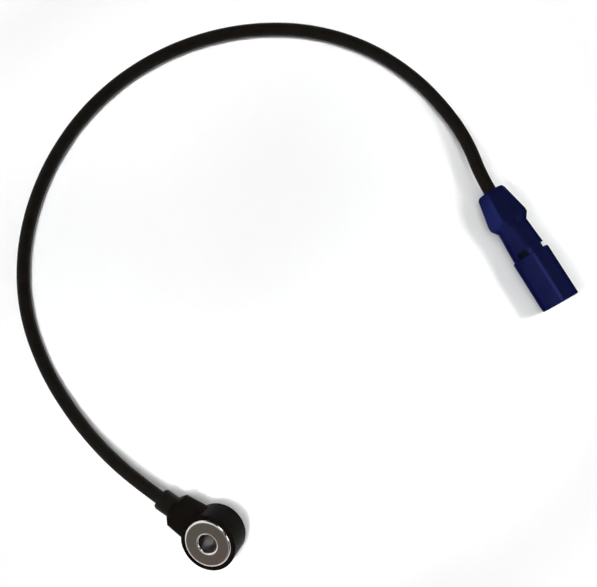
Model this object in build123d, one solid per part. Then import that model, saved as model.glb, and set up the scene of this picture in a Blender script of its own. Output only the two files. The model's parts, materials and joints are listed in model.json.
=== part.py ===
from build123d import *
import math
import os

# Engine knock sensor: a ring-shaped vibration sensor moulded round a flanged bolt sleeve,
# with a fixed cable that ends in a round two-pin connector.
# Millimetres, +Z up. The origin is the centre of the bolt bore, halfway along the sleeve.
# +X runs along the connector, from its mouth to its cable end.
# Sensor, cable and connector lie on one flat surface, and the stiff cable holds the sensor
# up on the edge of its back face.

# Bolt sleeve
BOLT_BORE = 8.4
BORE_EDGE = 0.9
SLEEVE_LENGTH = 15.2
SLEEVE_DIAMETER = 12.4
FLANGE_DIAMETER = 22.0
FLANGE_THICKNESS = 1.6
FLANGE_EDGE = 1.05
GROOVE_COUNT = 3
GROOVE_WIDTH = 0.4
GROOVE_DEPTH = 0.3

# Moulded drum: how far the flange and the sleeve's back end stand out of it, and its form
FLANGE_PROUD = 0.6
SLEEVE_PROUD = 0.3
DRUM_DIAMETER = 25.8
DRUM_BACK_DIAMETER = 24.6
DRUM_FRONT_EDGE = 0.4
DRUM_BACK_EDGE = 1.2

# Neck that carries the cable
NECK_WIDTH = 15.4
NECK_HEIGHT = 11.4
NECK_ROOT_WIDTH = 17.2
NECK_ROOT_HEIGHT = 12.4
NECK_FLARE = 5.0
NECK_CORNER = 4.6
SHOULDER_REACH = 22.4
SHOULDER_TAPER = 2.2
TIP_FLAT = 0.1

# Strain relief
RELIEF_DIAMETER = 9.8
RELIEF_SPIGOT_DIAMETER = 8.4
RELIEF_SPIGOT_LENGTH = 4.4
RELIEF_LENGTH = 7.0
RELIEF_BEVEL = 1.0
CABLE_RECESS = 4.0

# Measuring stack, from the flange to the nut
STACK_DIAMETER = 20.0
STACK_CLEARANCE = 0.3
INSULATOR_THICKNESS = 0.3
CONTACT_THICKNESS = 0.3
PIEZO_THICKNESS = 2.6
MASS_THICKNESS = 3.6
SPRING_THICKNESS = 0.6
SPRING_RISE = 0.3
NUT_THICKNESS = 2.2
NUT_DIAMETER = 18.0
NUT_NOTCH_COUNT = 4
NUT_NOTCH_WIDTH = 2.5
NUT_NOTCH_DEPTH = 1.2

# Contact tabs and leads
LEAD_OFFSET = 1.7
LEAD_DIAMETER = 2.0
CONDUCTOR_DIAMETER = 1.2
TAB_WIDTH = 2.4
TAB_THICKNESS = 0.3
TAB_CLEARANCE = 2.0
BARREL_GAP = 0.8
BARREL_LENGTH = 3.2
BARREL_DIAMETER = 2.0

# Cable
CABLE_DIAMETER = 6.1
CABLE_CLEARANCE = 0.1
EXIT_RUN = 12.6
ENTRY_RUN = 14.7

# How the sensor lies: heading of its neck, dip of the neck, and roll about the neck
NECK_HEADING = 27.4
NECK_DIP = 2.0
SENSOR_ROLL = -25.1

# Connector sleeve
MOUTH_X = 11.9
MOUTH_Y = -185.9
FRONT_DIAMETER = 17.6
FRONT_LENGTH = 25.4
FRONT_EDGE = 0.4
SOCKET_DIAMETER = 15.2
SOCKET_DEPTH = 12.0
KEY_COUNT = 2
KEY_WIDTH = 1.6
KEY_HEIGHT = 0.8
KEY_SETBACK = 1.5

# Connector rear shell; the wide slot's middle turns from +Y towards +Z, and each narrow slot
# lies on one side of it
GAP_LENGTH = 2.5
THROAT_DIAMETER = 15.8
THROAT_BACK_DIAMETER = 14.4
THROAT_LENGTH = 12.6
SHOULDER_LENGTH = 3.2
GRIP_SIDES = 6
GRIP_ACROSS_CORNERS = 19.6
GRIP_LAND = 1.6
GRIP_LENGTH = 13.0
GRIP_BACK_ACROSS_CORNERS = 14.3
GRIP_BEVEL = 1.0
GRIP_CORNER_CUT = 0.2
WIDE_SLOT_ANGLE = 70.0
WIDE_SLOT_TURN = 163.0
NARROW_SLOT_ANGLE = 41.0
NARROW_SLOT_TURN = 112.5
CHAMBER_DIAMETER = 11.0

# Terminal carrier
CARRIER_DIAMETER = 13.5
CARRIER_BACK_DIAMETER = 11.8
CARRIER_STEP = 1.6
CARRIER_BACK_LENGTH = 8.5

# Pins, seals and lock of the connector
PIN_DIAMETER = 1.5
PIN_SPACING = 5.0
PIN_SETBACK = 4.0
PIN_TIP = 0.5
CRIMP_DIAMETER = 2.6
CRIMP_LENGTH = 4.0
CRIMP_OVERLAP = 3.0
PIN_SEAL_DIAMETER = 4.4
PIN_SEAL_LENGTH = 4.0
CORE_OFFSET = 1.4
CORE_STRAIGHT_SHARE = 0.4
CORE_SLOPE_SHARE = 0.3
CORE_BEND_RADIUS = 4.0
CABLE_SEAL_DIAMETER = 9.4
CABLE_SEAL_LENGTH = 4.0
CABLE_END_MARGIN = 1.0
CABLE_SEAL_WALL = 2.3
CARRIER_SEAL_WIDTH = 1.6
CARRIER_SEAL_DEPTH = 1.0
CARRIER_SEAL_SETBACK = 20.0
LOCK_SETBACK = 16.0
LOCK_THICKNESS = 1.6
LOCK_WIDTH = 9.0
LOCK_HEIGHT = 3.6

# The cable's route between its two straight ends: x, y, and its centre's height above the
# surface that everything lies on
ROUTE = [
    (53.3, 26.1, 8),
    (76.7, 32.6, 4.9),
    (105.0, 35.6, 3.05),
    (135.5, 31.5, 3.05),
    (164.0, 17.7, 3.05),
    (187.8, -4.4, 3.05),
    (204.9, -32.0, 3.05),
    (213.7, -62.7, 3.05),
    (213.7, -94.9, 3.05),
    (205.1, -126.3, 3.05),
    (188.5, -154.1, 3.05),
    (165.7, -174.6, 3.05),
    (139.9, -186.5, 3.05),
    (116.5, -190.7, 4),
    (96.8, -190.1, 7.2),
]
ARC_SHARE = 0.45

# Places worked out from the dimensions above
sleeve_top = SLEEVE_LENGTH / 2
stack_top = sleeve_top - FLANGE_THICKNESS
stack_bore = SLEEVE_DIAMETER + 2 * STACK_CLEARANCE
drum_front = sleeve_top - FLANGE_PROUD
drum_back = -sleeve_top + SLEEVE_PROUD
neck_reach = SHOULDER_REACH - SHOULDER_TAPER
spigot_start = SHOULDER_REACH - RELIEF_SPIGOT_LENGTH
barrel_end = spigot_start - BARREL_GAP
barrel_start = barrel_end - BARREL_LENGTH
tab_bend = STACK_DIAMETER / 2 + TAB_CLEARANCE
stack_height = (
    2 * INSULATOR_THICKNESS
    + 2 * CONTACT_THICKNESS
    + PIEZO_THICKNESS
    + MASS_THICKNESS
    + SPRING_THICKNESS
    + SPRING_RISE
    + NUT_THICKNESS
)
relief_end = SHOULDER_REACH + RELIEF_LENGTH
cable_start = relief_end - CABLE_RECESS
throat_front = FRONT_LENGTH + GAP_LENGTH
throat_back = throat_front + THROAT_LENGTH
grip_front = throat_back + SHOULDER_LENGTH
grip_back = grip_front + GRIP_LAND + GRIP_LENGTH
shell_end = grip_back + GRIP_BEVEL
carrier_end = throat_front + CARRIER_STEP + CARRIER_BACK_LENGTH
crimp_end = carrier_end - PIN_SEAL_LENGTH
crimp_start = crimp_end - CRIMP_LENGTH
seal_back = shell_end - CABLE_SEAL_WALL
seal_front = seal_back - CABLE_SEAL_LENGTH
cable_end = seal_front - CABLE_END_MARGIN

sensor_pose = Rot(0, 0, NECK_HEADING) * Rot(0, NECK_DIP, 0) * Rot(SENSOR_ROLL, 0, 0)


def ring(outer, inner, low, high):
    """A flat ring about the Z axis."""
    height = high - low
    middle = Pos(0, 0, (low + high) / 2)
    return middle * (Cylinder(outer / 2, height) - Cylinder(inner / 2, height))


def turned(points):
    """A body turned about the Z axis from its profile of (radius, height) points."""
    profile = make_face(Polyline([(r, 0, z) for r, z in points], close=True))
    return revolve(profile, Axis.Z)


def turned_along(points):
    """A body turned about the X axis from its profile of (place along X, radius) points."""
    profile = make_face(Polyline([(x, r, 0) for x, r in points], close=True))
    return revolve(profile, Axis.X)


def rod(diameter, start, end, y=0):
    """A round rod along X, y to the side of the axis."""
    return Pos((start + end) / 2, y, 0) * Rot(0, 90, 0) * Cylinder(diameter / 2, end - start)


def flanged_sleeve():
    """Steel sleeve: contact flange and bore rounded in front, grooves that hold the plastic."""
    bore = BOLT_BORE / 2
    tube = SLEEVE_DIAMETER / 2
    flange = FLANGE_DIAMETER / 2
    sleeve = turned(
        [
            (bore, -sleeve_top + BORE_EDGE),
            (bore + BORE_EDGE, -sleeve_top),
            (tube, -sleeve_top),
            (tube, stack_top),
            (flange, stack_top),
            (flange, sleeve_top),
            (bore, sleeve_top),
        ]
    )
    rims = sleeve.edges().filter_by(GeomType.CIRCLE).group_by(Axis.Z)[-1].sort_by(SortBy.RADIUS)
    sleeve = fillet(rims[0], BORE_EDGE)
    rims = sleeve.edges().filter_by(GeomType.CIRCLE).group_by(Axis.Z)[-1].sort_by(SortBy.RADIUS)
    sleeve = fillet(rims[-1], FLANGE_EDGE)
    nut_end = stack_top - stack_height
    pitch = (nut_end - drum_back) / (GROOVE_COUNT + 1)
    for number in range(GROOVE_COUNT):
        middle = drum_back + (number + 1) * pitch
        low, high = middle - GROOVE_WIDTH / 2, middle + GROOVE_WIDTH / 2
        sleeve -= ring(SLEEVE_DIAMETER, SLEEVE_DIAMETER - 2 * GROOVE_DEPTH, low, high)
    return sleeve


def contact_disc(top, side):
    """Contact disc with a tab that steps down to a crimp barrel; side is +1 or -1 along Y."""
    disc = ring(STACK_DIAMETER, stack_bore, top - CONTACT_THICKNESS, top)
    bottom = top - TAB_THICKNESS
    root = (STACK_DIAMETER + stack_bore) / 4
    barrel_top = BARREL_DIAMETER / 2
    outline = [
        (root, bottom),
        (tab_bend - TAB_THICKNESS, bottom),
        (tab_bend - TAB_THICKNESS, barrel_top - TAB_THICKNESS),
        (barrel_end, barrel_top - TAB_THICKNESS),
        (barrel_end, barrel_top),
        (tab_bend, barrel_top),
        (tab_bend, top),
        (root, top),
    ]
    profile = make_face(Polyline([(x, 0, z) for x, z in outline], close=True))
    y = side * LEAD_OFFSET
    tab = Pos(0, y, 0) * extrude(profile, TAB_WIDTH / 2, both=True)
    barrel = rod(BARREL_DIAMETER, barrel_start, barrel_end, y)
    return disc + tab + barrel - rod(CONDUCTOR_DIAMETER, barrel_start, barrel_end, y)


def disc_spring(top):
    """Coned spring washer: its outer edge presses on the mass and its inner edge on the nut."""
    inner, outer = stack_bore / 2, STACK_DIAMETER / 2
    return turned(
        [
            (outer, top),
            (outer, top - SPRING_THICKNESS),
            (inner, top - SPRING_THICKNESS - SPRING_RISE),
            (inner, top - SPRING_RISE),
        ]
    )


def clamping_nut(top):
    """Round nut on the sleeve, with notches for the tightening tool."""
    nut = ring(NUT_DIAMETER, SLEEVE_DIAMETER, top - NUT_THICKNESS, top)
    notch = Box(2 * NUT_NOTCH_DEPTH, NUT_NOTCH_WIDTH, NUT_THICKNESS)
    place = Pos(NUT_DIAMETER / 2, 0, top - NUT_THICKNESS / 2)
    for number in range(NUT_NOTCH_COUNT):
        nut -= Rot(0, 0, (number + 0.5) * 360 / NUT_NOTCH_COUNT) * place * notch
    return nut


def lead(side):
    """Insulated lead: bare in the crimp barrel, then straight to the cable's end face."""
    y = side * LEAD_OFFSET
    bare = rod(CONDUCTOR_DIAMETER, barrel_start, barrel_end, y)
    return bare + rod(LEAD_DIAMETER, barrel_end, cable_start, y)


def strain_relief(leads):
    """Collar round the cable's end, with a spigot moulded into the neck."""
    collar = RELIEF_DIAMETER / 2
    relief = turned_along(
        [
            (spigot_start, 0),
            (spigot_start, RELIEF_SPIGOT_DIAMETER / 2),
            (SHOULDER_REACH, RELIEF_SPIGOT_DIAMETER / 2),
            (SHOULDER_REACH, collar),
            (relief_end - RELIEF_BEVEL, collar),
            (relief_end, collar - RELIEF_BEVEL / 2),
            (relief_end, 0),
        ]
    )
    relief -= rod(CABLE_DIAMETER + 2 * CABLE_CLEARANCE, cable_start, relief_end)
    for one in leads:
        relief -= one
    return relief


def neck_section(reach, width, height, corner):
    """Rounded section of the neck, square to the X axis."""
    plane = Plane(origin=(reach, 0, 0), x_dir=(0, 1, 0), z_dir=(1, 0, 0))
    return plane * RectangleRounded(width, height, corner)


def neck():
    """Neck: flared where it leaves the drum, then tapering to the shoulder round the collar."""
    drum_side = DRUM_BACK_DIAMETER / 2
    flare_end = math.sqrt((drum_side + NECK_FLARE) ** 2 - (NECK_ROOT_WIDTH / 2 + NECK_FLARE) ** 2)
    touch = math.atan2(flare_end, NECK_ROOT_WIDTH / 2 + NECK_FLARE)
    sections = []
    for share in (1, 2 / 3, 1 / 3, 0):
        turn = share * touch
        reach = flare_end - NECK_FLARE * math.sin(turn)
        width = NECK_ROOT_WIDTH + 2 * NECK_FLARE * (1 - math.cos(turn))
        sections.append(neck_section(reach, width, NECK_ROOT_HEIGHT, NECK_CORNER))
    end = neck_section(neck_reach, NECK_WIDTH, NECK_HEIGHT, NECK_CORNER)
    tip = neck_section(SHOULDER_REACH, RELIEF_DIAMETER, RELIEF_DIAMETER, RELIEF_DIAMETER / 2 - TIP_FLAT)
    return loft(sections) + loft([sections[-1], end], ruled=True) + loft([end, tip], ruled=True)


def sensor_housing(filled):
    """Moulded drum and neck round the solids in filled, with a ring of room for the stack."""
    groove_floor = SLEEVE_DIAMETER / 2 - GROOVE_DEPTH
    drum = turned(
        [
            (groove_floor, drum_back),
            (DRUM_BACK_DIAMETER / 2, drum_back),
            (DRUM_DIAMETER / 2, drum_front),
            (groove_floor, drum_front),
        ]
    )
    for level, radius in ((0, DRUM_BACK_EDGE), (-1, DRUM_FRONT_EDGE)):
        rims = drum.edges().filter_by(GeomType.CIRCLE).group_by(Axis.Z)[level]
        drum = fillet(rims.sort_by(SortBy.RADIUS)[-1], radius)
    housing = drum + neck()
    housing -= ring(STACK_DIAMETER, SLEEVE_DIAMETER, stack_top - stack_height, stack_top)
    for solid in filled:
        housing -= solid
    return housing


def sensor_parts():
    """The sensor's pieces, with the bolt bore along Z and the neck along +X."""
    parts = {"flanged_sleeve": flanged_sleeve()}
    z = stack_top
    parts["flange_insulating_disc"] = ring(STACK_DIAMETER, stack_bore, z - INSULATOR_THICKNESS, z)
    z -= INSULATOR_THICKNESS
    parts["flange_contact_disc"] = contact_disc(z, 1)
    z -= CONTACT_THICKNESS
    parts["piezo_ring"] = ring(STACK_DIAMETER, stack_bore, z - PIEZO_THICKNESS, z)
    z -= PIEZO_THICKNESS
    parts["mass_contact_disc"] = contact_disc(z, -1)
    z -= CONTACT_THICKNESS
    parts["mass_insulating_disc"] = ring(STACK_DIAMETER, stack_bore, z - INSULATOR_THICKNESS, z)
    z -= INSULATOR_THICKNESS
    parts["seismic_mass"] = ring(STACK_DIAMETER, stack_bore, z - MASS_THICKNESS, z)
    z -= MASS_THICKNESS
    parts["disc_spring"] = disc_spring(z)
    z -= SPRING_THICKNESS + SPRING_RISE
    parts["clamping_nut"] = clamping_nut(z)
    parts["signal_lead"] = lead(1)
    parts["ground_lead"] = lead(-1)
    leads = [parts["signal_lead"], parts["ground_lead"]]
    parts["strain_relief"] = strain_relief(leads)
    inner = ["flanged_sleeve", "flange_contact_disc", "mass_contact_disc", "strain_relief"]
    parts["sensor_housing"] = sensor_housing([parts[name] for name in inner] + leads)
    return parts


def connector_sleeve():
    """Front sleeve: a round socket with keys, and a bore that holds the carrier."""
    outer = FRONT_DIAMETER / 2
    socket = SOCKET_DIAMETER / 2
    seat = CARRIER_DIAMETER / 2
    sleeve = turned_along(
        [
            (0, outer - FRONT_EDGE),
            (FRONT_EDGE, outer),
            (FRONT_LENGTH - FRONT_EDGE, outer),
            (FRONT_LENGTH, outer - FRONT_EDGE),
            (FRONT_LENGTH, seat),
            (SOCKET_DEPTH, seat),
            (SOCKET_DEPTH, socket),
            (FRONT_EDGE, socket),
            (0, socket + FRONT_EDGE),
        ]
    )
    key = Box(SOCKET_DEPTH - KEY_SETBACK, 2 * KEY_HEIGHT, KEY_WIDTH)
    key = Pos((SOCKET_DEPTH + KEY_SETBACK) / 2, socket, 0) * key
    wall = rod(FRONT_DIAMETER, KEY_SETBACK, SOCKET_DEPTH)
    for number in range(KEY_COUNT):
        sleeve += Rot(number * 360 / KEY_COUNT, 0, 0) * key & wall
    return sleeve


def grip_section(reach, across_corners):
    """Section of the grip, with a flat side down."""
    plane = Plane(origin=(reach, 0, 0), x_dir=(0, 1, 0), z_dir=(1, 0, 0))
    return plane * RegularPolygon(across_corners / 2, GRIP_SIDES)


def grip():
    """Tapered grip with flat sides, its corners cut round in front and bevelled at the back."""
    slope = (GRIP_ACROSS_CORNERS - GRIP_BACK_ACROSS_CORNERS) / GRIP_LENGTH
    end_across = GRIP_BACK_ACROSS_CORNERS - slope * GRIP_BEVEL
    land = grip_front + GRIP_LAND
    front = [grip_section(throat_back, GRIP_ACROSS_CORNERS), grip_section(land, GRIP_ACROSS_CORNERS)]
    back = [front[1], grip_section(shell_end, end_across)]
    corner = GRIP_ACROSS_CORNERS / 2 - GRIP_CORNER_CUT
    envelope = turned_along(
        [
            (throat_back, 0),
            (throat_back, THROAT_BACK_DIAMETER / 2),
            (grip_front, corner),
            (land, corner),
            (grip_back, GRIP_BACK_ACROSS_CORNERS / 2 - GRIP_CORNER_CUT),
            (shell_end, GRIP_BACK_ACROSS_CORNERS / 2 - GRIP_BEVEL),
            (shell_end, 0),
        ]
    )
    return (loft(front, ruled=True) + loft(back, ruled=True)) & envelope


def connector_rear_shell():
    """Grip and throat in one moulding, with three slots where the throat meets the sleeve."""
    throat = turned_along(
        [
            (FRONT_LENGTH, 0),
            (FRONT_LENGTH, THROAT_DIAMETER / 2),
            (throat_front, THROAT_DIAMETER / 2),
            (throat_back, THROAT_BACK_DIAMETER / 2),
            (throat_back, 0),
        ]
    )
    middle = (FRONT_LENGTH + throat_front) / 2
    profile = Pos(middle, THROAT_DIAMETER / 2, 0) * Rectangle(GAP_LENGTH, THROAT_DIAMETER)
    slots = [
        (0, WIDE_SLOT_ANGLE),
        (NARROW_SLOT_TURN, NARROW_SLOT_ANGLE),
        (-NARROW_SLOT_TURN, NARROW_SLOT_ANGLE),
    ]
    for turn, angle in slots:
        slot = revolve(profile, Axis.X, revolution_arc=angle)
        throat -= Rot(WIDE_SLOT_TURN + turn - angle / 2, 0, 0) * slot
    shell = throat + grip()
    shell -= rod(CARRIER_DIAMETER, FRONT_LENGTH, throat_front + CARRIER_STEP)
    shell -= rod(CARRIER_BACK_DIAMETER, throat_front + CARRIER_STEP, carrier_end)
    shell -= rod(CHAMBER_DIAMETER, carrier_end, seal_front)
    shell -= rod(CABLE_SEAL_DIAMETER, seal_front, seal_back)
    shell -= rod(CABLE_DIAMETER + 2 * CABLE_CLEARANCE, seal_back, shell_end)
    return shell


def carrier_seal():
    """Square-section seal in the carrier's groove."""
    start = CARRIER_SEAL_SETBACK
    end = start + CARRIER_SEAL_WIDTH
    inner = CARRIER_DIAMETER - 2 * CARRIER_SEAL_DEPTH
    return rod(CARRIER_DIAMETER, start, end) - rod(inner, start, end)


def terminal_pin(side):
    """Round pin with a pointed tip and a crimp barrel at its back."""
    y = side * PIN_SPACING / 2
    pin = PIN_DIAMETER / 2
    body = turned_along(
        [
            (PIN_SETBACK, 0),
            (PIN_SETBACK, pin - PIN_TIP),
            (PIN_SETBACK + 2 * PIN_TIP, pin),
            (crimp_start, pin),
            (crimp_start, CRIMP_DIAMETER / 2),
            (crimp_end, CRIMP_DIAMETER / 2),
            (crimp_end, 0),
        ]
    )
    hole = rod(CONDUCTOR_DIAMETER, crimp_end - CRIMP_OVERLAP, crimp_end)
    return Pos(0, y, 0) * (body - hole)


def pin_seal(side):
    """Seal round the core behind a pin."""
    y = side * PIN_SPACING / 2
    body = rod(PIN_SEAL_DIAMETER, crimp_end, carrier_end, y)
    return body - rod(LEAD_DIAMETER, crimp_end, carrier_end, y)


def terminal_lock(pins):
    """Flat plate across the carrier that locks both pins."""
    end = LOCK_SETBACK + LOCK_THICKNESS
    plate = Pos((LOCK_SETBACK + end) / 2, 0, 0) * Box(LOCK_THICKNESS, LOCK_WIDTH, LOCK_HEIGHT)
    for pin in pins:
        plate -= pin
    return plate


def terminal_carrier(held):
    """Core that holds the pins, locked in the sleeve and the rear shell; held is what it holds."""
    step = throat_front + CARRIER_STEP
    body = rod(CARRIER_DIAMETER, SOCKET_DEPTH, step)
    body += rod(CARRIER_BACK_DIAMETER, step, carrier_end)
    for solid in held:
        body -= solid
    return body


def connector_core(side):
    """Insulated core from a pin's crimp barrel, drawn in to the cable's end face."""
    pin_y = side * PIN_SPACING / 2
    bare = rod(CONDUCTOR_DIAMETER, crimp_end - CRIMP_OVERLAP, crimp_end, pin_y)
    reach = cable_end - crimp_end
    points = [
        (crimp_end, pin_y, 0),
        (crimp_end + CORE_STRAIGHT_SHARE * reach, pin_y, 0),
        (crimp_end + (CORE_STRAIGHT_SHARE + CORE_SLOPE_SHARE) * reach, side * CORE_OFFSET, 0),
        (cable_end, side * CORE_OFFSET, 0),
    ]
    path = FilletPolyline(*points, radius=[CORE_BEND_RADIUS] * 2)
    start = Plane(origin=points[0], z_dir=(1, 0, 0))
    return bare + sweep(start * Circle(LEAD_DIAMETER / 2), path=path)


def cable_seal():
    """Bush between the cable and the rear shell."""
    body = rod(CABLE_SEAL_DIAMETER, seal_front, seal_back)
    return body - rod(CABLE_DIAMETER, seal_front, seal_back)


def connector_parts():
    """The connector's pieces, with the mouth's centre at the origin and the axis along +X."""
    parts = {}
    names = [("signal", 1), ("ground", -1)]
    for name, side in names:
        parts[name + "_pin"] = terminal_pin(side)
        parts["pin_seal_" + name] = pin_seal(side)
        parts[name + "_core"] = connector_core(side)
    pins = [parts[name + "_pin"] for name, side in names]
    parts["terminal_lock"] = terminal_lock(pins)
    parts["carrier_seal"] = carrier_seal()
    held = list(parts.values())
    parts["terminal_carrier"] = terminal_carrier(held)
    parts["cable_seal"] = cable_seal()
    parts["connector_sleeve"] = connector_sleeve()
    parts["connector_rear_shell"] = connector_rear_shell()
    return parts


def cable_points(surface, axis_height):
    """The route's points, straight out of the strain relief and straight into the connector."""
    start = sensor_pose * Pos(cable_start, 0, 0)
    ahead = sensor_pose * Pos(cable_start + EXIT_RUN, 0, 0)
    end = Vector(MOUTH_X + cable_end, MOUTH_Y, axis_height)
    behind = end + Vector(ENTRY_RUN, 0, 0)
    between = [Vector(x, y, surface + height) for x, y, height in ROUTE]
    return [start.position, ahead.position] + between + [behind, end]


def arc_radii(points):
    """A radius for each corner: as large as its two runs allow."""
    radii = []
    for before, corner, after in zip(points, points[1:], points[2:]):
        run_in, run_out = corner - before, after - corner
        half_turn = math.radians(run_in.get_angle(run_out)) / 2
        radii.append(ARC_SHARE * min(run_in.length, run_out.length) / math.tan(half_turn))
    return radii


def cable(points):
    """The cable: one tube along straight runs and tangent arcs."""
    radii = arc_radii(points)
    path = FilletPolyline(*points, radius=radii)
    start = Plane(origin=path @ 0, z_dir=path % 0)
    section = Circle(CABLE_DIAMETER / 2)
    tube = sweep(start * section, path=path)
    print("arc radii", [round(radius) for radius in radii])
    print("cable length", round(path.length, 2))
    print("tube volume", round(tube.volume, 1), "section by length", round(section.area * path.length, 1))
    return tube


def main():
    os.makedirs("parts", exist_ok=True)
    parts = {name: sensor_pose * part for name, part in sensor_parts().items()}
    surface = parts["sensor_housing"].bounding_box().min.Z
    grip_flats = GRIP_ACROSS_CORNERS * math.cos(math.pi / GRIP_SIDES)
    axis_height = surface + max(FRONT_DIAMETER, grip_flats) / 2
    place = Pos(MOUTH_X, MOUTH_Y, axis_height)
    parts.update({name: place * part for name, part in connector_parts().items()})
    points = cable_points(surface, axis_height)
    parts["cable"] = cable(points)
    print("surface", round(surface, 3), "connector axis", round(axis_height, 3))
    print("route", [tuple(round(v, 2) for v in point) for point in points])
    for name, part in parts.items():
        export_step(part, f"parts/{name}.step")


main()
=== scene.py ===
import json
import math
import bpy
from mathutils import Euler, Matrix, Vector

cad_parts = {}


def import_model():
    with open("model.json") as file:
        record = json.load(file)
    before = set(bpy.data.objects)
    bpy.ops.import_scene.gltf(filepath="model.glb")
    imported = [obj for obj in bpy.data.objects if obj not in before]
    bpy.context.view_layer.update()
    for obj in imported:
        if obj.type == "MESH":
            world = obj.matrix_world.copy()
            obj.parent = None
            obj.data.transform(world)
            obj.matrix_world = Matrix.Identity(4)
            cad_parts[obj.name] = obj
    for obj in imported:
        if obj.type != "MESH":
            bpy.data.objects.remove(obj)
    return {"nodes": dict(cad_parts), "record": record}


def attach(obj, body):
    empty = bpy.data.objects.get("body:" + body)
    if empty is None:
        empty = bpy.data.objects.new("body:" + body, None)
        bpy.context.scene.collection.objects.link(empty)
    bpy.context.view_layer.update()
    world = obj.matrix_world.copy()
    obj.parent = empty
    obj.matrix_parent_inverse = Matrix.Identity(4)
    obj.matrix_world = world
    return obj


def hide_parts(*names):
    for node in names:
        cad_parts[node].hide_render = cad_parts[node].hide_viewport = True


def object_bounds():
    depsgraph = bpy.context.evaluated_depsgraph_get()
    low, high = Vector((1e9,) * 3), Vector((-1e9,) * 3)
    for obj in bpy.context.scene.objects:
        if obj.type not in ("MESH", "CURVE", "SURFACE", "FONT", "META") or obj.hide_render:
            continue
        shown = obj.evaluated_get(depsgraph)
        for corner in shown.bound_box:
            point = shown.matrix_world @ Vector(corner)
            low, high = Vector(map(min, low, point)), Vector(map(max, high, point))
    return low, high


# Looks of the engine knock sensor: its cable, the finish of every piece, the floor, the light
# and the camera. Metres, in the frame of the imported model, whose origin is the centre of the
# bolt bore; +Z is up and +X runs along the connector, from its mouth to its cable end.

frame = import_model()
cad_low, cad_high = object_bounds()
scene = bpy.context.scene
MM = 0.001

# The cable's route, from the strain relief to the cable end of the connector, in millimetres
ROUTE_MM = [
    (22.54, 11.68, -0.89),
    (33.72, 17.48, -1.33),
    (53.3, 26.1, -3.46),
    (76.7, 32.6, -6.56),
    (105.0, 35.6, -8.41),
    (135.5, 31.5, -8.41),
    (164.0, 17.7, -8.41),
    (187.8, -4.4, -8.41),
    (204.9, -32.0, -8.41),
    (213.7, -62.7, -8.41),
    (213.7, -94.9, -8.41),
    (205.1, -126.3, -8.41),
    (188.5, -154.1, -8.41),
    (165.7, -174.6, -8.41),
    (139.9, -186.5, -8.41),
    (116.5, -190.7, -7.46),
    (96.8, -190.1, -4.26),
    (78.6, -185.9, -2.66),
    (63.9, -185.9, -2.66),
]
CABLE_DIAMETER = 6.1 * MM

# The camera, which looks almost straight down
CAMERA_PLACE = Vector((17.835, -80.751, 361.253)) * MM
CAMERA_TURN = (8.1687, 3.7907, -119.8237)
SENSOR_WIDTH = 36.0
FOCAL_LENGTH = 48.24
CLIP_RANGE = (0.01, 20.0)


def cable():
    """The cable as one smooth curve, lying on the surface between the sensor and the connector."""
    curve = bpy.data.curves.new("cable_jacket", "CURVE")
    curve.dimensions = "3D"
    # The points' own radius gives the thickness, so that it counts once in the curve's box too
    curve.bevel_depth = 1.0
    curve.bevel_resolution = 10
    curve.resolution_u = 16
    spline = curve.splines.new("NURBS")
    spline.points.add(len(ROUTE_MM) - 1)
    for point, place in zip(spline.points, ROUTE_MM):
        point.co = (*(v * MM for v in place), 1.0)
        point.radius = CABLE_DIAMETER / 2
    spline.order_u = 3
    spline.use_endpoint_u = True
    curve.use_fill_caps = True
    piece = bpy.data.objects.new("cable_jacket", curve)
    scene.collection.objects.link(piece)
    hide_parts("cable")
    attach(piece, "root")
    curve.materials.append(MATERIALS["cable_jacket"])


def camera():
    data = bpy.data.cameras.new("camera")
    data.sensor_fit = "HORIZONTAL"
    data.sensor_width = SENSOR_WIDTH
    data.lens = FOCAL_LENGTH
    data.clip_start, data.clip_end = CLIP_RANGE
    piece = bpy.data.objects.new("camera", data)
    piece.location = CAMERA_PLACE
    piece.rotation_euler = Euler([math.radians(a) for a in CAMERA_TURN])
    scene.collection.objects.link(piece)
    scene.camera = piece


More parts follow.
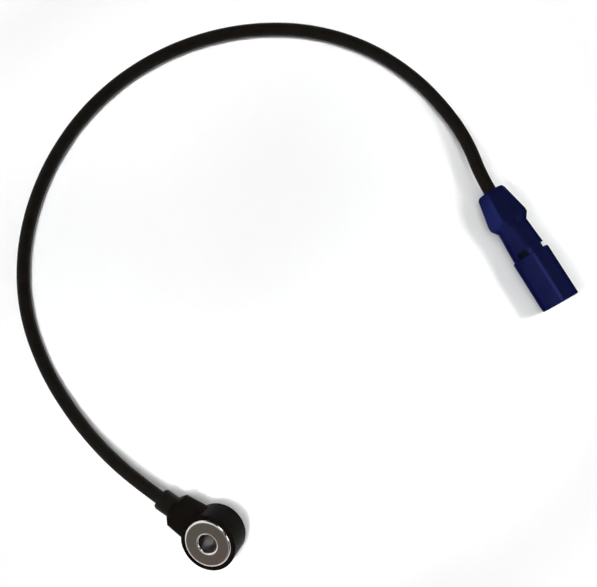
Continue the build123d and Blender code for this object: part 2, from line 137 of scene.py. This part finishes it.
class Tree:
    """The node tree of a material or world.

    A value given to one of its calls is another node's output, a number or a colour. A grain
    is how many spots of noise there are in a metre, and how much detail they have. A relief is
    how deep a bump is, and its strength.
    """

    def __init__(self, owner):
        owner.use_nodes = True
        self.tree = owner.node_tree
        self.tree.nodes.clear()
        self.places = self.node("ShaderNodeTexCoord").outputs

    def node(self, kind, values=None, **settings):
        """Adds a node; values are for its inputs, by name or number."""
        made = self.tree.nodes.new(kind)
        for key, setting in settings.items():
            setattr(made, key, setting)
        for key, value in (values or {}).items():
            self.feed(made.inputs[key], value)
        return made

    def feed(self, into, value):
        if isinstance(value, bpy.types.NodeSocket):
            self.tree.links.new(value, into)
        elif into.type == "RGBA":
            into.default_value = (*value, 1.0)
        else:
            into.default_value = value

    def maths(self, operation, *operands):
        made = self.node("ShaderNodeMath", dict(enumerate(operands)), operation=operation)
        return made.outputs["Value"]

    def vector(self, operation, *operands):
        """A vector sum whose result is a number."""
        made = self.node("ShaderNodeVectorMath", dict(enumerate(operands)), operation=operation)
        return made.outputs["Value"]

    def ramp(self, source, start_end, low_high, shape="LINEAR"):
        """Goes from low to high while the source goes from start to end, and no further."""
        values = {"Value": source}
        values["From Min"], values["From Max"] = start_end
        values["To Min"], values["To Max"] = low_high
        made = self.node("ShaderNodeMapRange", values, interpolation_type=shape)
        return made.outputs["Result"]

    def noise(self, grain, stretch=None):
        """Noise in the object's own space."""
        place = self.places["Object"]
        if stretch is not None:
            mapping = self.node("ShaderNodeMapping", {"Vector": place, "Scale": stretch})
            place = mapping.outputs["Vector"]
        spots, detail = grain
        values = {"Vector": place, "Scale": spots, "Detail": detail}
        return self.node("ShaderNodeTexNoise", values).outputs["Fac"]

    def patches(self, grain, low_high=(0.0, 1.0)):
        """Smooth patches that drift from low to high."""
        return self.ramp(self.noise(grain), NOISE_MIDDLE, low_high)

    # A mix node has the same names for its numbers and its colours, so these go by place

    def mix_colours(self, factor, first, second):
        made = self.node("ShaderNodeMix", {0: factor, 6: first, 7: second}, data_type="RGBA")
        return made.outputs[2]

    def mix_numbers(self, factor, first, second):
        return self.node("ShaderNodeMix", {0: factor, 2: first, 3: second}).outputs[0]

    def bump(self, height, relief, under=None):
        depth, strength = relief
        values = {"Height": height, "Distance": depth, "Strength": strength}
        if under is not None:
            values["Normal"] = under
        return self.node("ShaderNodeBump", values).outputs["Normal"]

    def shader(self, kind, values):
        return self.node(kind, values).outputs[0]

    def finish(self, surface, output="ShaderNodeOutputMaterial"):
        self.node(output, {"Surface": surface})


def finished(name, look):
    """A material whose one shader has the given look; look gives its values from its tree."""
    material = bpy.data.materials.new(name)
    tree = Tree(material)
    tree.finish(tree.shader("ShaderNodeBsdfPrincipled", look(tree)))
    return material


# The part of the noise's range that patches use
NOISE_MIDDLE = (0.3, 0.7)
WHITE = (1.0, 1.0, 1.0)

# Moulded plastic and rubber
CLOUD_GRAIN = (140.0, 4.0)
GLOSS_GRAIN = (420.0, 3.0)
GLOSS_DRIFT = 0.06
FLOW_GRAIN = (160.0, 2.0)
FLOW_RELIEF = (0.024 * MM, 0.5)
SKIN_GRAIN = (2500.0, 2.0)
SKIN_RELIEF = (0.004 * MM, 0.6)


def moulded(name, colour, light, roughness, gloss, tint=WHITE, sheen=0.0):
    """Moulded plastic or rubber: cloudy colour, uneven gloss, faint flow marks and a fine grain.

    sheen is the share of the surface that mirrors in its own colour.
    """

    def look(tree):
        uneven = (roughness - GLOSS_DRIFT, roughness + GLOSS_DRIFT)
        flow = tree.bump(tree.noise(FLOW_GRAIN), FLOW_RELIEF)
        return {
            "Base Color": tree.mix_colours(tree.patches(CLOUD_GRAIN), colour, light),
            "Roughness": tree.patches(GLOSS_GRAIN, uneven),
            "Specular IOR Level": gloss,
            "Specular Tint": tint,
            "Metallic": sheen,
            "Normal": tree.bump(tree.noise(SKIN_GRAIN), SKIN_RELIEF, under=flow),
        }

    return finished(name, look)


# Plain metal
TARNISH_GRAIN = (700.0, 5.0)
POLISH_GRAIN = (1400.0, 3.0)
POLISH_DRIFT = 0.08
SCRATCH_GRAIN = (4200.0, 3.0)
SCRATCH_STRETCH = (1.0, 6.0, 1.0)
SCRATCH_RELIEF = (0.002 * MM, 0.5)


def metal(name, colour, light, roughness):
    """Plain metal with patchy tarnish and faint scratches."""

    def look(tree):
        uneven = (roughness - POLISH_DRIFT, roughness + POLISH_DRIFT)
        scratches = tree.noise(SCRATCH_GRAIN, SCRATCH_STRETCH)
        return {
            "Base Color": tree.mix_colours(tree.patches(TARNISH_GRAIN), colour, light),
            "Metallic": 1.0,
            "Roughness": tree.patches(POLISH_GRAIN, uneven),
            "Normal": tree.bump(scratches, SCRATCH_RELIEF),
        }

    return finished(name, look)


# The bolt sleeve: its bore's axis, and the distances from it where the finish changes, and with it
# the colour: bright edges that are partly a painted highlight, and a darker bore wall that is
# partly painted shade
MOUNTS = {mount["name"]: mount for mount in frame["record"]["mounts"]}
BORE_AXIS = MOUNTS["bolt_bore"]["axis"]
WALL_END = (4.21 * MM, 4.26 * MM)
INNER_EDGE = (5.0 * MM, 5.2 * MM)
OUTER_EDGE = (9.9 * MM, 10.1 * MM)
FACE_ROUGHNESS = 0.36
EDGE_ROUGHNESS = 0.18
WALL_ROUGHNESS = 0.3
TOOL_MARK_GRAIN = (5200.0, 3.0)
TOOL_MARK_RELIEF = (0.012 * MM, 0.5)
PIT_GRAIN = (1500.0, 4.0)
PIT_RELIEF = (0.01 * MM, 0.4)

# Its colours. The face drifts from reddish to greenish along an axis, and has faint stains.
DRIFT_AXIS = (0.965, 0.262, 0.0)
DRIFT_REACH = (-8.0 * MM, 8.0 * MM)
DRIFT_SHARE = 0.7
STAIN_GRAIN = (260.0, 5.0)
STEEL_FACE = (0.152, 0.150, 0.114)
STEEL_FACE_WARM = (0.200, 0.146, 0.130)
# The edges' bright colour is bare steel, raised further as a painted highlight
BARE_EDGE_AND_HIGHLIGHT = (0.80, 0.79, 0.77)
# The bore wall's darker colour is steel, partly painted shade inside the bore
BORE_STEEL_AND_SHADE = (0.18, 0.172, 0.165)


def turned_steel(name):
    """The bolt sleeve: dull turned faces with rings of tool marks, bright edges that are partly a
    painted highlight, and a bore wall of darker steel that is partly painted shade.
    """

    def look(tree):
        place = tree.places["Object"]
        along = tree.maths("POWER", tree.vector("DOT_PRODUCT", place, BORE_AXIS), 2.0)
        away = tree.maths("POWER", tree.vector("LENGTH", place), 2.0)
        radius = tree.maths("SQRT", tree.maths("SUBTRACT", away, along))

        across = tree.vector("DOT_PRODUCT", place, DRIFT_AXIS)
        drift = tree.ramp(across, DRIFT_REACH, (DRIFT_SHARE, 0.0))
        stain = tree.patches(STAIN_GRAIN, (0.0, 1.0 - DRIFT_SHARE))
        face = tree.mix_colours(tree.maths("ADD", drift, stain), STEEL_FACE, STEEL_FACE_WARM)

        inner_edge = tree.ramp(radius, INNER_EDGE, (1.0, 0.0))
        outer_edge = tree.ramp(radius, OUTER_EDGE, (0.0, 1.0))
        edges = tree.maths("MAXIMUM", inner_edge, outer_edge)
        wall = tree.ramp(radius, WALL_END, (1.0, 0.0))
        # Bright edges: bare steel, partly a painted highlight
        face_and_edge_highlight = tree.mix_colours(edges, face, BARE_EDGE_AND_HIGHLIGHT)
        polish = tree.ramp(edges, (0.0, 1.0), (FACE_ROUGHNESS, EDGE_ROUGHNESS))
        dull = tree.maths("MULTIPLY", wall, WALL_ROUGHNESS)

        spots, detail = TOOL_MARK_GRAIN
        values = {"W": radius, "Scale": spots, "Detail": detail}
        marks = tree.node("ShaderNodeTexNoise", values, noise_dimensions="1D").outputs["Fac"]
        pits = tree.bump(tree.noise(PIT_GRAIN), PIT_RELIEF)
        # The bore wall gets its darker colour, partly painted shade
        return {
            "Base Color": tree.mix_colours(wall, face_and_edge_highlight, BORE_STEEL_AND_SHADE),
            "Metallic": 1.0,
            "Roughness": tree.maths("MAXIMUM", polish, dull),
            "Normal": tree.bump(marks, TOOL_MARK_RELIEF, under=pits),
        }

    return finished(name, look)


# The finish of each material slot: a name, two colours that it drifts between, its roughness,
# and for plastic its gloss. The connector's blue also has a tint and a sheen.
BLUE = (0.0080, 0.0104, 0.050)
BLUE_LIGHT = (0.0094, 0.0122, 0.060)
BLUE_TINT = (0.0, 0.0, 0.3)
MATERIALS = {
    "housing_plastic": moulded(
        "housing", (0.0046, 0.0037, 0.0029), (0.0062, 0.0050, 0.0040), 0.34, 0.01
    ),
    "relief_plastic": moulded(
        "relief", (0.0042, 0.0041, 0.0030), (0.0080, 0.0075, 0.0055), 0.38, 0.06
    ),
    "cable_jacket": moulded(
        "jacket", (0.0054, 0.0043, 0.0033), (0.0082, 0.0065, 0.0050), 0.4, 0.05
    ),
    "sleeve_steel": turned_steel("turned_steel"),
    "inner_steel": metal("inner_steel", (0.42, 0.41, 0.39), (0.55, 0.54, 0.52), 0.4),
    "contact_brass": metal("brass", (0.60, 0.42, 0.16), (0.72, 0.53, 0.24), 0.32),
    "insulator": moulded("insulator", (0.42, 0.35, 0.22), (0.50, 0.43, 0.30), 0.5, 0.5),
    "piezo_ceramic": moulded("ceramic", (0.50, 0.46, 0.38), (0.58, 0.54, 0.46), 0.6, 0.4),
    "connector_blue": moulded("blue", BLUE, BLUE_LIGHT, 0.14, 0.0, BLUE_TINT, 0.5),
    "carrier_blue": moulded(
        "carrier", (0.0014, 0.0026, 0.0050), (0.0022, 0.0036, 0.0075), 0.45, 0.05
    ),
    "seal_rubber": moulded("rubber", (0.010, 0.030, 0.020), (0.015, 0.040, 0.026), 0.6, 0.3),
    "core_insulation": moulded("core", (0.05, 0.05, 0.05), (0.08, 0.08, 0.08), 0.5, 0.4),
}


def dress():
    """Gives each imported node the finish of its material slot."""
    for node in frame["nodes"].values():
        for place in node.material_slots:
            place.material = MATERIALS[place.material.name]


# The middle of what the camera sees of the floor
MIDDLE = (0.10, -0.08, 0.0)

# The floor: distances from its middle over which it turns plain white to the camera and in
# reflections, and the stretch of its own Y over which its reflection dims
FLOOR_HALF = 8.0
FLOOR_WHITE = (0.97, 0.97, 0.97)
FLOOR_DIM = (0.05, 0.05, 0.05)
FLOOR_LIFT = 0.05
SHOWN_FADE = (0.145, 0.20)
MIRRORED_FADE = (0.45, 1.2)
DIM_FADE = (-0.125, -0.105)


def floor():
    """A white floor that keeps the object's shadow; in reflections it dims beyond the connector."""
    mesh = bpy.data.meshes.new("floor")
    ways = [(-1, -1), (1, -1), (1, 1), (-1, 1)]
    corners = [(x * FLOOR_HALF, y * FLOOR_HALF, 0.0) for x, y in ways]
    mesh.from_pydata(corners, [], [(0, 1, 2, 3)])
    piece = bpy.data.objects.new("floor", mesh)
    piece.location = (MIDDLE[0], MIDDLE[1], cad_low.z)
    scene.collection.objects.link(piece)

    material = bpy.data.materials.new("floor")
    tree = Tree(material)
    rays = tree.node("ShaderNodeLightPath").outputs
    to_camera, in_gloss = rays["Is Camera Ray"], rays["Is Glossy Ray"]
    place = tree.places["Object"]
    across = tree.node("ShaderNodeSeparateXYZ", {"Vector": place}).outputs["Y"]
    far = tree.vector("LENGTH", place)

    plain = tree.shader("ShaderNodeBsdfDiffuse", {"Color": FLOOR_WHITE})
    dim = tree.shader("ShaderNodeBsdfDiffuse", {"Color": FLOOR_DIM})
    beyond = tree.ramp(across, DIM_FADE, (1.0, 0.0), "SMOOTHSTEP")
    dimmed = tree.maths("MULTIPLY", in_gloss, beyond)
    ground = tree.shader("ShaderNodeMixShader", {0: dimmed, 1: plain, 2: dim})
    lift = tree.maths("MULTIPLY", to_camera, FLOOR_LIFT)
    lifted = tree.shader("ShaderNodeEmission", {"Color": WHITE, "Strength": lift})
    lit = tree.shader("ShaderNodeAddShader", {0: ground, 1: lifted})

    white = tree.shader("ShaderNodeEmission", {"Color": WHITE, "Strength": 1.0})
    shown = tree.ramp(far, SHOWN_FADE, (0.0, 1.0), "SMOOTHSTEP")
    mirrored = tree.ramp(far, MIRRORED_FADE, (0.0, 1.0), "SMOOTHSTEP")
    shown = tree.maths("MULTIPLY", to_camera, shown)
    mirrored = tree.maths("MULTIPLY", in_gloss, mirrored)
    faded = tree.maths("MAXIMUM", shown, mirrored)
    tree.finish(tree.shader("ShaderNodeMixShader", {0: faded, 1: lit, 2: white}))
    mesh.materials.append(material)


# The world's strengths, and the directions (parts of a length of 1) between which they change
SKY_FILL = 0.04
SKY_TOP = 0.04
PANEL = 0.95
PANEL_START = (0.15, 0.20)
SIDE_START = (-0.30, -0.12)
SIDE_SHARE = 0.3
HORIZON = 1.0
HORIZON_END = (0.2, 0.35)


def world():
    """White to the camera; in reflections bright low down and towards +Y, and dim towards -Y."""
    scene.world = bpy.data.worlds.new("world")
    tree = Tree(scene.world)
    rays = tree.node("ShaderNodeLightPath").outputs
    way = tree.node("ShaderNodeSeparateXYZ", {"Vector": tree.places["Generated"]}).outputs
    panel = tree.ramp(way["Y"], PANEL_START, (SKY_TOP, PANEL), "SMOOTHSTEP")
    side = tree.ramp(way["X"], SIDE_START, (SIDE_SHARE, 1.0), "SMOOTHSTEP")
    horizon = tree.ramp(way["Z"], HORIZON_END, (HORIZON, 0.0), "SMOOTHSTEP")
    mirrored = tree.maths("MAXIMUM", tree.maths("MULTIPLY", panel, side), horizon)
    seen = tree.maths("MAXIMUM", rays["Is Camera Ray"], rays["Is Transmission Ray"])
    light = tree.mix_numbers(rays["Is Glossy Ray"], SKY_FILL, mirrored)
    strength = tree.mix_numbers(seen, light, 1.0)
    back = tree.shader("ShaderNodeBackground", {"Color": WHITE, "Strength": strength})
    tree.finish(back, "ShaderNodeOutputWorld")


# What the lamps point at
SENSOR = (0.0, 0.0, 0.0)
CONNECTOR = (0.02, -0.19, 0.0)
RIDGE = (0.03, -0.195, 0.0)
GRIP_SIDE = (0.060, -0.178, 0.004)

# Name, place, target, size, watts, cone in degrees, and whether reflections show the lamp
LAMPS = [
    ("overhead", (0.10, -0.08, 1.2), MIDDLE, (1.2, 1.2), 0.90, 180.0, False),
    ("sensor", (-0.025, 0.075, 0.42), SENSOR, (0.07, 0.07), 0.050, 40.0, False),
    ("connector_left", (-0.02, -0.37, 0.26), CONNECTOR, (0.07, 0.07), 0.074, 60.0, False),
    ("connector_right", (0.02, 0.0, 0.27), CONNECTOR, (0.07, 0.07), 0.037, 52.0, False),
    ("ridge", (0.03, -0.195, 0.45), RIDGE, (0.12, 0.17), 0.020, 60.0, True),
    ("grip_side", (0.070, 0.0, -0.004), GRIP_SIDE, (0.016, 0.012), 0.0015, 6.0, False),
    ("rim_left", (0.03, -0.114, 0.276), SENSOR, (0.12, 0.08), 0.0036, 25.0, True),
    ("rim_right", (-0.16, -0.11, 0.23), SENSOR, (0.12, 0.08), 0.0036, 25.0, True),
]

# The fills look straight down and keep the floor evenly white. They stand in rows: the X of
# each row, then the Y and watts of its lamps.
FILL_ROWS = {
    -0.06: [(-0.11, 0.028), (-0.04, 0.012), (0.09, 0.040)],
    0.10: [(-0.04, 0.022), (0.09, 0.040)],
    0.15: [(-0.25, 0.044), (-0.11, 0.024), (-0.04, 0.021), (0.09, 0.025)],
    0.25: [
        (-0.25, 0.028), (-0.18, 0.032), (-0.11, 0.032),
        (-0.04, 0.036), (0.03, 0.033), (0.09, 0.034),
    ],
    0.02: [(0.04, 0.012)],
    0.20: [(0.02, 0.003)],
}
FILL_HEIGHT = 0.5
FILL_SIZE = (0.1, 0.1)
FILL_CONE = 28.0


def lamp(name, place, target, size, power, cone, glossy):
    """An area lamp, size metres across, whose light keeps within a cone given in degrees."""
    data = bpy.data.lights.new(name, "AREA")
    data.shape = "RECTANGLE"
    data.size, data.size_y = size
    data.energy = power
    data.spread = math.radians(cone)
    piece = bpy.data.objects.new(name, data)
    piece.location = place
    piece.rotation_euler = (Vector(target) - Vector(place)).to_track_quat("-Z", "Y").to_euler()
    piece.visible_glossy = glossy
    scene.collection.objects.link(piece)


def lamps():
    """A soft lamp overhead, small ones for shadows and edges, and fills that whiten the floor."""
    for row in LAMPS:
        lamp(*row)
    for x, row in FILL_ROWS.items():
        for y, power in row:
            lamp("fill", (x, y, FILL_HEIGHT), (x, y, 0.0), FILL_SIZE, power, FILL_CONE, False)


scene.view_settings.view_transform = "Standard"
cable()
dress()
floor()
world()
lamps()
camera()

bpy.context.view_layer.update()
